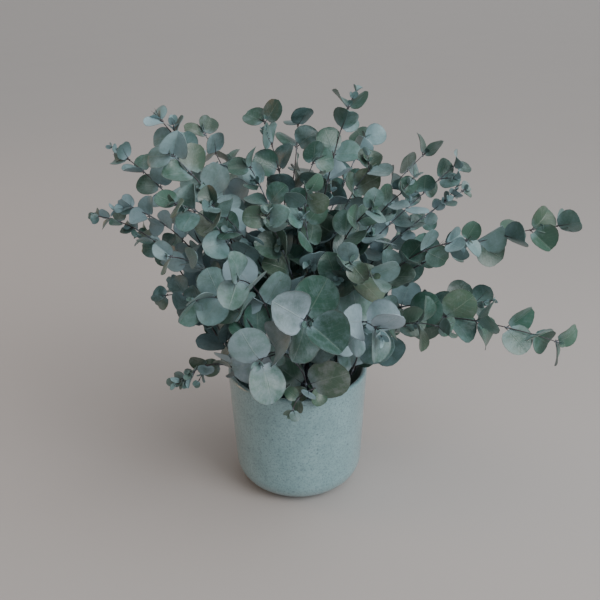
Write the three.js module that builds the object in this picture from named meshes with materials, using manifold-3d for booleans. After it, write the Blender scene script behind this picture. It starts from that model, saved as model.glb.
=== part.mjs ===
// A bunch of dried silver-dollar eucalyptus standing in a round glazed pot.
// Millimetres, +Z up. The origin is the middle of the pot's foot, where it meets the table.
import * as THREE from "three";
import { mergeVertices } from "three/addons/utils/BufferGeometryUtils.js";
import Module from "manifold-3d";

const wasm = await Module();
wasm.setup();

// Pot: outside sizes first, then its wall.
const POT_RIM_RADIUS = 70;
const POT_HEIGHT = 126;
const POT_TAPER = 4.7; // the wall is this much narrower in radius above the foot than at the rim
const POT_FOOT_BEND = 25; // radius of the bend from the wall to the foot
const POT_WALL = 5.4;
const POT_FLOOR = 8;
const POT_SIDES = 40;

// Stems: every one stands on the pot's floor, crosses the pot in a swirl and bends out above it.
const STEM_FOOT_RADIUS = 1.6;
const STEM_TIP_RADIUS = 0.7;
const STEM_SIDES = 4;
const STEM_STEPS = 8; // one straight length inside the pot, the rest above the rim
const FOOT_SPREAD = 0.6; // feet stand on rings this much smaller than the rings at the rim
const FOOT_TURN = THREE.MathUtils.degToRad(-120); // and turned this far back round the pot
const EVEN_SHARE = 0.85; // how evenly a ring's stems stand, against each standing by its own tip
const RIM_CLEARANCE = 6; // between the inside of the rim and the outermost ring of stems

// Leaves: round, in opposite pairs, each pair turned a quarter from the last.
const LEAF_THICKNESS = 1.6;
const LEAF_WIDTH_RATIO = 0.96;
const LEAF_SPACING = 0.93; // distance between pairs, in leaf lengths
const BIG_LEAF_SIDES = 8;
const SMALL_LEAF_SIDES = 6;
const SMALL_LEAF = 23; // leaves shorter than this have the fewer sides
const BIG_LEAF_NECK = 0.42; // width near the stem, against a true oval
const SMALL_LEAF_NECK = 0.66;
const LEAF_LOSS = 0.06; // share of leaves that dropped off in drying
const WINDOW_SIDE = new THREE.Vector3(0.15, -0.85, 0.5).normalize(); // where the light came from
const WINDOW_PULL = 0.85; // how much of a leaf's facing it takes, against facing out of the bunch
const LEAF_TURN = 0.62; // share of the way that a leaf turns its face to the light

const GAP = 0.5; // least clear space between two pieces
const STEM_GAP = 1; // least clear space round a bare stem
const FOOT_GAP = 1.2; // clear space under a stem's foot
const FINEST_EDGE = 0.006; // a join that leaves a shorter edge than this is made elsewhere

// Each ring of stems at the rim: its radius as a share of the outermost ring's, and its stems.
// A stem is [direction of its tip, reach of its tip, height of its tip, slope at its tip,
// length of its largest leaf, length of its last leaf, height where its leaves start];
// directions are in degrees from +X.
const RINGS = [
  {
    share: 1,
    stems: [
      [-177, 180, 288, 10, 27, 10, 145],
      [-156, 128, 226, -5, 31, 17, 140],
      [-133, 142, 170, -25, 24, 11, 150],
      [-131, 126, 240, -4, 35, 25, 132],
      [-102, 141, 203, -5, 44, 35, 128],
      [-93, 88, 126, -70, 20, 11, 128],
      [-62, 138, 224, -2, 40, 28, 127],
      [-26, 143, 196, -8, 35, 22, 130],
      [-12, 246, 173, -16, 40, 23, 134],
      [6, 180, 182, -6, 35, 23, 142],
      [38, 172, 240, 8, 31, 18, 145],
      [66, 168, 250, 12, 32, 18, 145],
      [98, 156, 226, 4, 33, 18, 145],
      [130, 150, 212, -5, 32, 18, 145],
      [160, 160, 248, 12, 31, 17, 145],
    ],
  },
  {
    share: 0.76,
    stems: [
      [-172, 146, 298, 25, 30, 16, 160],
      [-146, 128, 270, 15, 33, 18, 155],
      [-140, 125, 319, 20, 33, 20, 160],
      [-116, 108, 258, 20, 40, 27, 138],
      [-86, 128, 233, 5, 45, 37, 132],
      [-80, 63, 322, 45, 31, 19, 180],
      [-63, 101, 269, 22, 32, 20, 140],
      [-54, 108, 256, 15, 39, 25, 135],
      [-15, 157, 270, 8, 31, 19, 155],
      [-4, 240, 274, 8, 35, 24, 155],
      [7, 161, 299, 30, 21, 10, 170],
      [18, 147, 230, 18, 29, 17, 150],
      [25, 140, 325, 40, 32, 23, 165],
      [70, 142, 310, 38, 32, 18, 165],
      [120, 138, 308, 38, 32, 18, 165],
      [173, 155, 334, 36, 31, 19, 165],
    ],
  },
  {
    share: 0.49,
    stems: [
      [-165, 115, 377, 52, 30, 19, 190],
      [-151, 114, 353, 45, 35, 24, 180],
      [-137, 93, 311, 40, 31, 19, 170],
      [-108, 72, 302, 45, 35, 22, 185],
      [-40, 84, 304, 38, 33, 20, 185],
      [-21, 100, 313, 42, 29, 18, 175],
      [-13, 68, 328, 50, 33, 23, 180],
      [6, 150, 324, 42, 29, 19, 180],
      [46, 100, 338, 52, 32, 23, 190],
      [86, 60, 356, 62, 33, 23, 190],
      [150, 98, 350, 52, 32, 22, 190],
    ],
  },
  {
    share: 0.2,
    stems: [
      [-159, 42, 333, 60, 33, 20, 185],
      [-16, 18, 333, 64, 33, 23, 185],
      [41, 68, 374, 64, 33, 23, 205],
      [143, 33, 366, 64, 33, 23, 205],
    ],
  },
];

const POT_GLAZE = new THREE.MeshStandardMaterial({ color: 0x8fa9a2, roughness: 0.35, metalness: 0 });
const LEAF_COLOURS = [0x7f9c98, 0x8aa6a4, 0x6d8c84, 0x93ada9, 0x788f79, 0x5f7f78];

// ---------------------------------------------------------------- solids

function solidOf(geometry) {
  const bare = geometry.clone();
  bare.deleteAttribute("normal");
  bare.deleteAttribute("uv");
  const merged = mergeVertices(bare, 1e-4);
  const mesh = new wasm.Mesh({
    numProp: 3,
    vertProperties: new Float32Array(merged.attributes.position.array),
    triVerts: new Uint32Array(merged.index.array),
  });
  return new wasm.Manifold(mesh);
}

function geometryOf(solid) {
  const mesh = solid.getMesh();
  const geometry = new THREE.BufferGeometry();
  geometry.setAttribute("position", new THREE.BufferAttribute(mesh.vertProperties, 3));
  geometry.setIndex(new THREE.BufferAttribute(mesh.triVerts, 1));
  geometry.computeVertexNormals();
  return geometry;
}

// True for one body with no very short edge, and no edge that more than two faces meet at.
function isSound(solid) {
  const { vertProperties, triVerts } = solid.getMesh();
  const names = [];
  for (let i = 0; i < vertProperties.length; i += 3) {
    names.push([0, 1, 2].map((k) => vertProperties[i + k].toFixed(3)).join(" "));
  }
  const faces = new Map();
  for (let i = 0; i < triVerts.length; i += 1) {
    const a = triVerts[i];
    const b = triVerts[i % 3 === 2 ? i - 2 : i + 1];
    const [dx, dy, dz] = [0, 1, 2].map((k) => vertProperties[3 * a + k] - vertProperties[3 * b + k]);
    if (Math.hypot(dx, dy, dz) < FINEST_EDGE) return false;
    const edge = [names[a], names[b]].sort().join("/");
    faces.set(edge, (faces.get(edge) ?? 0) + 1);
  }
  return [...faces.values()].every((count) => count === 2) && solid.decompose().length === 1;
}

// ---------------------------------------------------------------- pot

function arc(cx, cy, radius, from, to, steps) {
  const points = [];
  for (let i = 0; i <= steps; i += 1) {
    const a = THREE.MathUtils.degToRad(from + ((to - from) * i) / steps);
    points.push(new THREE.Vector2(cx + radius * Math.cos(a), cy + radius * Math.sin(a)));
  }
  return points;
}

function potGeometry() {
  const lowRadius = POT_RIM_RADIUS - POT_TAPER;
  const lip = POT_WALL / 2;
  const innerBend = POT_FOOT_BEND - POT_WALL;
  const profile = [
    new THREE.Vector2(0, 0),
    ...arc(lowRadius - POT_FOOT_BEND, POT_FOOT_BEND, POT_FOOT_BEND, -90, 0, 4),
    ...arc(POT_RIM_RADIUS - lip, POT_HEIGHT - lip, lip, 0, 180, 4),
    ...arc(lowRadius - POT_FOOT_BEND, POT_FLOOR + innerBend, innerBend, 0, -90, 3),
    new THREE.Vector2(0, POT_FLOOR),
  ];
  const geometry = new THREE.LatheGeometry(profile, POT_SIDES);
  geometry.rotateX(Math.PI / 2); // the lathe turns about Y; the pot stands along Z
  return geometry;
}

const pot = solidOf(potGeometry());
const mouthRing = POT_RIM_RADIUS - POT_WALL - RIM_CLEARANCE;

// ---------------------------------------------------------------- stems

// A straight length from the foot to the rim, then a bend from the rim to the tip.
class StemCurve extends THREE.Curve {
  constructor(foot, rim, tip, tipDirection, lift, pull) {
    super();
    const leave = rim.clone().sub(foot).normalize();
    const span = tip.distanceTo(rim);
    this.foot = foot;
    this.rim = rim;
    this.bend = new THREE.CubicBezierCurve3(
      rim,
      rim.clone().addScaledVector(leave, span * lift),
      tip.clone().addScaledVector(tipDirection, -span * pull),
      tip,
    );
    this.turn = 1 / STEM_STEPS;
  }

  getPoint(t, target = new THREE.Vector3()) {
    if (t < this.turn) return target.lerpVectors(this.foot, this.rim, t / this.turn);
    return target.copy(this.bend.getPoint((t - this.turn) / (1 - this.turn)));
  }

  getTangent(t, target = new THREE.Vector3()) {
    if (t < this.turn) return target.subVectors(this.rim, this.foot).normalize();
    return target.copy(this.bend.getTangent((t - this.turn) / (1 - this.turn)));
  }

  getPointAt(t, target) {
    return this.getPoint(t, target);
  }

  getTangentAt(t, target) {
    return this.getTangent(t, target);
  }
}

function stemRadius(t) {
  return THREE.MathUtils.lerp(STEM_FOOT_RADIUS, STEM_TIP_RADIUS, t);
}

function stemGeometry(curve) {
  const corners = [];
  for (let i = 0; i < STEM_SIDES; i += 1) {
    const a = (2 * Math.PI * i) / STEM_SIDES;
    corners.push(new THREE.Vector2(Math.cos(a), Math.sin(a)));
  }
  const geometry = new THREE.ExtrudeGeometry(new THREE.Shape(corners), {
    steps: STEM_STEPS,
    extrudePath: curve,
    bevelEnabled: false,
  });
  // The extrusion has a radius of 1 all along; each ring of corners is brought to its own radius.
  const rings = curve.getSpacedPoints(STEM_STEPS);
  const position = geometry.attributes.position;
  const corner = new THREE.Vector3();
  for (let i = 0; i < position.count; i += 1) {
    corner.fromBufferAttribute(position, i);
    let nearest = 0;
    for (let k = 1; k < rings.length; k += 1) {
      if (corner.distanceTo(rings[k]) < corner.distanceTo(rings[nearest])) nearest = k;
    }
    corner.sub(rings[nearest]).multiplyScalar(stemRadius(nearest / STEM_STEPS)).add(rings[nearest]);
    position.setXYZ(i, corner.x, corner.y, corner.z);
  }
  return geometry;
}

function polar(azimuth, reach, height) {
  return new THREE.Vector3(reach * Math.cos(azimuth), reach * Math.sin(azimuth), height);
}

function stemCurve(ring, index, lift, pull, nudge) {
  const [direction, reach, height, slope] = ring.stems[index];
  const azimuth = THREE.MathUtils.degToRad(direction);
  const even = ((index + 0.5) / ring.stems.length) * 360 - 180;
  const rimAzimuth = THREE.MathUtils.degToRad(THREE.MathUtils.lerp(direction, even, EVEN_SHARE) - 8);
  const rim = polar(rimAzimuth, mouthRing * ring.share, POT_HEIGHT);
  const foot = polar(rimAzimuth + FOOT_TURN, mouthRing * ring.share * FOOT_SPREAD, POT_FLOOR);
  const tilt = rim.clone().sub(foot).angleTo(new THREE.Vector3(0, 0, 1));
  foot.z += FOOT_GAP + STEM_FOOT_RADIUS * Math.sin(tilt);
  const rise = THREE.MathUtils.degToRad(slope);
  const tipDirection = polar(azimuth, Math.cos(rise), Math.sin(rise));
  const tip = polar(azimuth + nudge, reach, height);
  return new StemCurve(foot, rim, tip, tipDirection, lift, pull);
}

function boxOf(solid) {
  const box = solid.boundingBox();
  return new THREE.Box3(new THREE.Vector3(...box.min), new THREE.Vector3(...box.max));
}

// True where a solid keeps the gap to every listed piece, judged by the named solid of each.
function isClear(solid, pieces, gap, which) {
  const box = boxOf(solid).expandByScalar(gap);
  return pieces.every((piece) => !box.intersectsBox(piece.box) || solid.minGap(piece[which], gap) >= gap);
}

const STEM_TRIES = [];
for (const nudge of [0, 0.05, -0.05, 0.1, -0.1, 0.16, -0.16]) {
  for (const [lift, pull] of [[0.36, 0.4], [0.28, 0.45], [0.44, 0.35], [0.22, 0.3], [0.5, 0.25]]) {
    STEM_TRIES.push([lift, pull, nudge]);
  }
}

const potPiece = { solid: pot, outer: pot, box: boxOf(pot) };
const stems = [];
for (const ring of RINGS) {
  ring.stems.forEach((row, index) => {
    for (const [lift, pull, nudge] of STEM_TRIES) {
      const curve = stemCurve(ring, index, lift, pull, nudge);
      const solid = solidOf(stemGeometry(curve));
      if (isClear(solid, [potPiece, ...stems], STEM_GAP, "solid")) {
        stems.push({ curve, solid, joined: solid, box: boxOf(solid), row, leaves: [] });
        return;
      }
    }
    throw new Error(`no clear way for the stem towards ${row[0]}`);
  });
}

// ---------------------------------------------------------------- leaves

// A round leaf lying along +X from the origin with its upper face up: a thin lens on a flat rim.
function leafGeometry(length) {
  const isSmall = length < SMALL_LEAF;
  const sides = isSmall ? SMALL_LEAF_SIDES : BIG_LEAF_SIDES;
  const neck = isSmall ? SMALL_LEAF_NECK : BIG_LEAF_NECK;
  const geometry = new THREE.SphereGeometry(1, sides, 2);
  const thickness = LEAF_THICKNESS * (isSmall ? 0.75 : 1);
  const position = geometry.attributes.position;
  for (let i = 0; i < position.count; i += 1) {
    const around = -position.getX(i); // 1 at the stem end of the rim, -1 at the leaf's end
    const across = -position.getZ(i);
    const up = position.getY(i);
    const isRim = Math.abs(up) < 0.5;
    const along = isRim ? ((1 - around) / 2) ** 0.85 : 0.42;
    const side = isRim ? across * (around > 0.1 ? neck : 1 - 0.12 * around) : 0;
    const lift = isRim ? 0 : up > 0 ? 0.3 : -0.7;
    position.setXYZ(
      i,
      along * length,
      (side * length * LEAF_WIDTH_RATIO) / 2,
      lift * thickness,
    );
  }
  return geometry;
}

function leafSolid(root, along, up, length, start) {
  const across = up.clone().cross(along);
  const place = new THREE.Matrix4().makeBasis(along, across, up);
  place.setPosition(root.clone().addScaledVector(along, start));
  return solidOf(leafGeometry(length).applyMatrix4(place));
}

// Twist about the leaf's own length, turn round the stem, lift along the stem, size.
const LEAF_TRIES = [];
for (const size of [1, 0.86, 0.74, 0.62]) {
  for (const [twist, turn, lift] of [
    [0, 0, 0],
    [0.5, 0, 0],
    [-0.5, 0, 0.2],
    [0, 0.5, 0.3],
    [0, -0.5, -0.2],
    [1, 0.3, 0.2],
    [-1, -0.3, 0.4],
    [0.4, 0.9, 0.1],
    [-0.4, -0.9, 0.1],
  ]) {
    LEAF_TRIES.push([twist, turn, lift, size]);
  }
}

// The middle of the made stem, which runs straight from one ring of corners to the next.
function onStem(curve, t) {
  const step = Math.min(Math.floor(t * STEM_STEPS), STEM_STEPS - 1);
  const from = curve.getPoint(step / STEM_STEPS);
  const to = curve.getPoint((step + 1) / STEM_STEPS);
  return from.lerp(to, t * STEM_STEPS - step);
}

// Where the pairs sit along a stem, from the tip down, with the length of their leaves.
function pairsOf(stem) {
  const [, , , , largest, last, start] = stem.row;
  const { bend, turn } = stem.curve;
  const total = bend.getLength();
  const pairs = [];
  let fromTip = 1.5;
  while (fromTip < total) {
    const share = 1 - fromTip / total;
    const length = last + (largest - last) * (1 - share ** 1.7) ** 0.8;
    const bendT = bend.getUtoTmapping(share);
    const t = turn + bendT * (1 - turn);
    const point = onStem(stem.curve, t);
    if (point.z < start && share < 0.5) break;
    pairs.push({ t, point, tangent: bend.getTangent(bendT), length });
    fromTip += length * LEAF_SPACING;
  }
  return pairs;
}

const random = THREE.MathUtils.seededRandom;
random(4207);

// The twist about a leaf's length that brings one of its faces round towards the light.
function twistToLight(along, up, point) {
  const outward = new THREE.Vector3(point.x, point.y, 0).normalize();
  const light = outward.lerp(WINDOW_SIDE, WINDOW_PULL);
  const across = along.clone().cross(up);
  const angle = Math.atan2(light.dot(across), light.dot(up));
  const nearest = Math.abs(angle) > 1.9 ? angle - Math.sign(angle) * Math.PI : angle;
  return nearest * LEAF_TURN;
}

function placeLeaf(stem, pair, turn, twist, lift) {
  const radius = stemRadius(pair.t);
  const sideways = new THREE.Vector3(0, 0, 1).cross(pair.tangent).normalize();
  for (const [moreTwist, moreTurn, moreLift, size] of LEAF_TRIES) {
    const out = sideways.clone().applyAxisAngle(pair.tangent, turn + moreTurn);
    const angle = lift + moreLift;
    const along = out.multiplyScalar(Math.cos(angle)).addScaledVector(pair.tangent, Math.sin(angle));
    along.normalize();
    const up = pair.tangent.clone().addScaledVector(along, -pair.tangent.dot(along)).normalize();
    up.applyAxisAngle(along, twistToLight(along, up, pair.point) + twist + moreTwist);
    const length = pair.length * size;
    const solid = leafSolid(pair.point, along, up, length, -0.15 * radius);
    const others = stems.filter((other) => other !== stem);
    const strangers = [potPiece, ...others, ...others.flatMap((other) => other.leaves)];
    if (!isClear(solid, strangers, GAP, "solid")) continue;
    const outer = leafSolid(pair.point, along, up, length, 2.6 * radius);
    if (!isClear(outer, stem.leaves, GAP, "outer")) continue;
    const joined = stem.joined.add(solid);
    if (!isSound(joined)) continue;
    stem.joined = joined;
    stem.leaves.push({ solid, outer, box: boxOf(solid) });
    return;
  }
}

const rounds = stems.map((stem) => pairsOf(stem));
const mostPairs = Math.max(...rounds.map((pairs) => pairs.length));
for (let level = 0; level < mostPairs; level += 1) {
  stems.forEach((stem, index) => {
    const pair = rounds[index][level];
    if (!pair) return;
    const quarter = level % 2 ? Math.PI / 2 : 0;
    const turn = quarter + index * 1.3 + (random() - 0.5) * 0.5;
    const twist = (random() - 0.5) * 1.3;
    for (const side of [0, Math.PI]) {
      const lift = 0.4 + random() * 0.5;
      const lost = random() < LEAF_LOSS && level > 1;
      if (!lost) placeLeaf(stem, pair, turn + side, side ? -twist : twist, lift);
    }
  });
}

// ---------------------------------------------------------------- the bunch

const bunch = new THREE.Group();
const potMesh = new THREE.Mesh(geometryOf(pot), POT_GLAZE);
potMesh.name = "pot";
bunch.add(potMesh);

stems.forEach((stem, index) => {
  const material = new THREE.MeshStandardMaterial({
    color: LEAF_COLOURS[index % LEAF_COLOURS.length],
    roughness: 0.75,
    metalness: 0,
  });
  const mesh = new THREE.Mesh(geometryOf(stem.joined), material);
  mesh.name = "sprig_" + String(index + 1).padStart(2, "0");
  bunch.add(mesh);
});

export default bunch;
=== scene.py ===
"""A bunch of dried eucalyptus standing in a round speckled pot.

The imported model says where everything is: scene.py reads the outline of the pot, the run of each
stem and the place of each leaf from it, and builds the fine shapes and finishes there.
Lengths are metres, +Z is up, and the pot's foot stands on the origin.
"""

import math

import bpy
import numpy as np
from bpy.props import FloatProperty, FloatVectorProperty, IntProperty, PointerProperty
from mathutils import Matrix, Vector


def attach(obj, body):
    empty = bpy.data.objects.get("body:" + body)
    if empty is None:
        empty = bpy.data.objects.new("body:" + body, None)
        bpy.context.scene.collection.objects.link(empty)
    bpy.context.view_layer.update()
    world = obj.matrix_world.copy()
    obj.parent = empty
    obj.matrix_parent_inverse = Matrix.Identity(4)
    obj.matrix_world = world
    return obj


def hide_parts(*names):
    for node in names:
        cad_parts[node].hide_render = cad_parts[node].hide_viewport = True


bl_info = {
    "name": "Dried eucalyptus in a pot",
    "version": (1, 0, 0),
    "blender": (4, 5, 0),
    "location": "View3D > Sidebar > Eucalyptus",
    "description": "Builds a bunch of dried eucalyptus in a speckled pot round its packed model",
    "category": "Object",
}

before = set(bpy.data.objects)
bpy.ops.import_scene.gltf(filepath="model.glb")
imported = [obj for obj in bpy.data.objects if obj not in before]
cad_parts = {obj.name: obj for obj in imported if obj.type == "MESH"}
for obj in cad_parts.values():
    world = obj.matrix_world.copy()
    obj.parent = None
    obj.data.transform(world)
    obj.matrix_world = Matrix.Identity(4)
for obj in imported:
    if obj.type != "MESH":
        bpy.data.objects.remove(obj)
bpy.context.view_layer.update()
SPRIG_NAMES = sorted(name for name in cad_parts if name.startswith("sprig"))
CHARACTER_SEED, BARK_SEED, LEAF_SEED, SHOOT_SEED = 900, 60, 300, 1500

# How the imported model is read.
SHARP_FOLD = -0.88  # the faces at a leaf's rim have less than this cosine between them
LEAST_RIM_CORNERS = 6  # a shorter chain of sharp edges isn't a leaf
FOOT_ZONE = 0.003  # height of the zone that holds a stem's foot
RIM_ZONE = 0.0022  # half the height of the zone where a stem passes the rim
RIM_INSET = 0.006  # a stem passes the rim at least this far inside the pot
BEND_LEAD = 0.02  # the bend is fitted from this far below the rim
BEND_TERMS = 5  # powers in the curve of the bend
RINGS_ABOVE, RINGS_BELOW = 39, 7  # points on a stem's middle line above and below the rim
FOOT_REST = 0.0009  # height of the middle of a leaning stem's foot above the pot's floor

# The pot's underside.
FOOT_RECESS = 0.0008  # height of the underside above the ring the pot stands on
RECESS_EDGE, RING_INNER, RING_OUTER = 0.009, 0.004, 0.0015  # measured in from the foot's bend

# Stems.
STEM_SIDES = 8
JOINT_SWELL = 0.32  # how much thicker a stem is where leaves join
JOINT_LENGTH = 0.0013  # how far from a joint its swelling reaches
JOINT_BLOOM_AND_GLINT_LENGTH = 0.0030  # how far from a joint its extra bloom and painted highlight reach
JOINT_RINGS = np.array([-0.0022, -0.001, 0.0, 0.001, 0.0022])  # rings added round a joint
LEAST_RING_GAP = 0.0007  # rings closer than this are left out

# Leaves.
BIG_LEAF = 0.016  # a longer leaf has the finer grid
FULL_LEAF = 0.030  # a shorter leaf is thinner
EDGE_CROWDING = 0.85  # below 1 moves a leaf's columns towards its edges
OUTLINE_POWER, OUTLINE_ROOT = 2.25, 1.95  # with both at 2 a leaf's outline is an ellipse
LOBE_POWER, BROW_POWER = 7, 9  # how close its lobes and its brow keep to a leaf's ends
RIPPLES = 1.1  # waves along a leaf's edge
RIB_SHARES = np.array([0.0, 0.10, 0.24, 0.42, 0.62])
RIB_TAPER = np.array([1.25, 1.0, 0.85, 0.62, 0.42, 0.18])
STALK_START = (-0.0022, 0.0, -0.0002)  # in the leaf's own axes, inside its stem
STALK_RADIUS = 0.00022
STALK_GROWTH = 0.0105  # what a leaf's length adds to its stalk's radius
SWING = np.array([0.204, 0.34, 0.17])  # usual lift, roll and yaw of a dried leaf, in radians
VEIN_PAIRS = 7.5
VEIN_COLOUR, MARGIN_COLOUR = (0.30, 0.36, 0.31), (0.07, 0.065, 0.055)
SHADED_HEART_RADIUS = 0.085  # leaves nearer than this to the bunch's middle are darker, as painted shade
LONGEST_REACH = 0.38  # from the foot of a stem, where the wood is as young as it gets
FRESH_FROM, FRESH_TO = 0.78, 0.95  # shares of a sprig's reach where its leaves turn greener

# The room.
FLOOR_REACH = 45.0
AIM = Vector((0.0, 0.0, 0.18))  # what the window and the lamp are turned to
WINDOW_PLACE, WINDOW_SIZE, WINDOW_COLOUR = (1.15, -0.95, 1.05), (0.9, 1.1), (0.97, 0.99, 1.0)
LAMP_PLACE, LAMP_SIZE, LAMP_COLOUR = (-1.9, 0.35, 0.75), (0.9, 0.7), (1.0, 0.60, 0.36)
DAYLIGHT_HEADING, DAYLIGHT_COLOUR = Vector((-0.75, 0.62, -1.5)), (1.0, 0.985, 0.97)
DAYLIGHT_SPREAD = math.radians(70)
DIM_SIDE, BRIGHT_SIDE = (0.36, 0.34, 0.32), (0.93, 0.97, 1.0)  # the room's left and right
CAMERA_SIDEWAYS = 0.0035


# ------ settings


class PotSettings(bpy.types.PropertyGroup):
    """Shape and glaze of the pot."""

    sides: IntProperty(
        name="Sides",
        description="Faces round the pot",
        default=128,
        min=24,
    )
    glaze_colour: FloatVectorProperty(
        name="Glaze",
        description="Main colour of the glaze",
        default=(0.222, 0.365, 0.390),
        size=3,
        subtype="COLOR",
    )
    pale_colour: FloatVectorProperty(
        name="Pale glaze",
        description="Colour where the glaze lies thick and cloudy",
        default=(0.262, 0.415, 0.442),
        size=3,
        subtype="COLOR",
    )
    speck_colour: FloatVectorProperty(
        name="Specks",
        description="Colour of the specks in the glaze",
        default=(0.090, 0.165, 0.190),
        size=3,
        subtype="COLOR",
    )
    speck_spacing: FloatProperty(
        name="Speck spacing",
        description="Distance between neighbouring specks",
        default=0.0021,
        min=0.0005,
        unit="LENGTH",
    )
    roughness: FloatProperty(
        name="Roughness",
        description="Middle roughness of the satin glaze",
        default=0.34,
        min=0.0,
        max=1.0,
        subtype="FACTOR",
    )


class StemSettings(bpy.types.PropertyGroup):
    """Shape and bark of the stems."""

    foot_radius: FloatProperty(
        name="Foot radius",
        description="Radius of a stem where it stands in the pot",
        default=0.0015,
        min=0.0003,
        unit="LENGTH",
    )
    tip_radius: FloatProperty(
        name="Tip radius",
        description="Radius of a stem at its growing tip",
        default=0.00045,
        min=0.0001,
        unit="LENGTH",
    )
    bark_colour: FloatVectorProperty(
        name="Bark",
        description="Colour of the older wood",
        default=(0.019, 0.021, 0.031),
        size=3,
        subtype="COLOR",
    )
    shoot_colour: FloatVectorProperty(
        name="Shoot",
        description="Colour of the young wood near the tip",
        default=(0.055, 0.040, 0.045),
        size=3,
        subtype="COLOR",
    )
    bloom_colour: FloatVectorProperty(
        name="Bloom",
        description="Waxy powder on the bark",
        default=(0.20, 0.25, 0.29),
        size=3,
        subtype="COLOR",
    )


class LeafSettings(bpy.types.PropertyGroup):
    """Shape and colours of the leaves."""

    thickness: FloatProperty(
        name="Thickness",
        description="Thickness of a dried leaf",
        default=0.00045,
        min=0.0001,
        unit="LENGTH",
    )
    cupping: FloatProperty(
        name="Cupping",
        description="How far a leaf's sides curl up, as a share of its length",
        default=0.10,
        min=0.0,
        max=0.4,
        subtype="FACTOR",
    )
    side_shoots: FloatProperty(
        name="Side shoots",
        description="Share of the leaves with a small shoot between them and the stem",
        default=0.16,
        min=0.0,
        max=1.0,
        subtype="FACTOR",
    )
    deep_colour: FloatVectorProperty(
        name="Deep green",
        description="Leaf that has lost its bloom",
        default=(0.017, 0.058, 0.046),
        size=3,
        subtype="COLOR",
    )
    green_colour: FloatVectorProperty(
        name="Green",
        description="Middle green of the leaf",
        default=(0.048, 0.146, 0.103),
        size=3,
        subtype="COLOR",
    )
    bloom_colour: FloatVectorProperty(
        name="Bloom",
        description="Waxy blue-grey bloom on the leaf",
        default=(0.255, 0.400, 0.442),
        size=3,
        subtype="COLOR",
    )
    faded_colour: FloatVectorProperty(
        name="Faded",
        description="Grey-lilac of the oldest leaves",
        default=(0.345, 0.400, 0.490),
        size=3,
        subtype="COLOR",
    )
    dry_colour: FloatVectorProperty(
        name="Dry",
        description="Olive and brown that comes with drying",
        default=(0.110, 0.115, 0.050),
        size=3,
        subtype="COLOR",
    )


class StageSettings(bpy.types.PropertyGroup):
    """Floor, lights and camera."""

    floor_colour: FloatVectorProperty(
        name="Floor",
        description="Colour of the plain floor",
        default=(0.46, 0.43, 0.415),
        size=3,
        subtype="COLOR",
    )
    window_power: FloatProperty(
        name="Window light",
        description="Power of the large soft light at the right, in watts",
        default=17.0,
        min=0.0,
        unit="POWER",
    )
    lamp_power: FloatProperty(
        name="Lamp",
        description="Power of the warm lamp at the left, in watts",
        default=6.5,
        min=0.0,
        unit="POWER",
    )
    daylight: FloatProperty(
        name="Daylight",
        description="Strength of the very soft daylight from the front right",
        default=1.10,
        min=0.0,
    )
    room_light: FloatProperty(
        name="Room light",
        description="Strength of the even light all round",
        default=0.66,
        min=0.0,
    )
    camera_distance: FloatProperty(
        name="Camera distance",
        description="How far the camera stands in front of the pot's middle",
        default=0.670,
        unit="LENGTH",
    )
    camera_height: FloatProperty(
        name="Camera height",
        description="Height of the camera above the floor",
        default=0.487,
        unit="LENGTH",
    )
    camera_tilt: FloatProperty(
        name="Camera tilt",
        description="How far the camera looks down",
        default=math.radians(23.4),
        subtype="ANGLE",
    )
    camera_roll: FloatProperty(
        name="Camera roll",
        description="Turn of the camera about its own line of sight",
        default=math.radians(-0.87),
        subtype="ANGLE",
    )
    focal_length: FloatProperty(
        name="Focal length",
        description="Focal length of the camera, in millimetres",
        default=45.0,
        min=1.0,
    )


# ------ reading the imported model


def welded(name):
    """Corners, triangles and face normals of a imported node, with corners at one place made one."""
    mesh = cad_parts[name].data
    mesh.calc_loop_triangles()
    corners = np.empty(len(mesh.vertices) * 3)
    mesh.vertices.foreach_get("co", corners)
    triangles = np.empty(len(mesh.loop_triangles) * 3, dtype=np.int64)
    mesh.loop_triangles.foreach_get("vertices", triangles)
    corners = np.round(corners.reshape(-1, 3), 6)
    points, where = np.unique(corners, axis=0, return_inverse=True)
    faces = where.reshape(-1)[triangles.reshape(-1, 3)]
    faces = faces[(faces != np.roll(faces, 1, axis=1)).all(axis=1)]
    a, b, c = (points[faces[:, k]] for k in range(3))
    normals = np.cross(b - a, c - a)
    lengths = np.linalg.norm(normals, axis=1, keepdims=True)
    return points, faces, normals / np.maximum(lengths, 1e-15)


def leaf_rims(faces, normals):
    """Each leaf's sharp rim as a chain of corners, and every corner's neighbours."""
    edges = {}
    for index, face in enumerate(faces):
        for a, b in ((face[0], face[1]), (face[1], face[2]), (face[2], face[0])):
            edges.setdefault((min(a, b), max(a, b)), []).append(index)
    neighbours, sharp = {}, {}
    for (a, b), sides in edges.items():
        neighbours.setdefault(a, set()).add(b)
        neighbours.setdefault(b, set()).add(a)
        if len(sides) == 2 and normals[sides[0]] @ normals[sides[1]] < SHARP_FOLD:
            sharp.setdefault(a, []).append(b)
            sharp.setdefault(b, []).append(a)
    chains, walked = [], set()
    for start in sorted(corner for corner in sharp if len(sharp[corner]) != 2):
        for step in sharp[start]:
            if (start, step) in walked:
                continue
            chain, at, ahead = [start], start, step
            while True:
                walked.update({(at, ahead), (ahead, at)})
                chain.append(ahead)
                if len(sharp[ahead]) != 2:
                    break
                onward = [corner for corner in sharp[ahead] if corner != at]
                at, ahead = ahead, onward[0]
            if len(chain) >= LEAST_RIM_CORNERS:
                chains.append(chain)
    return chains, neighbours


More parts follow.
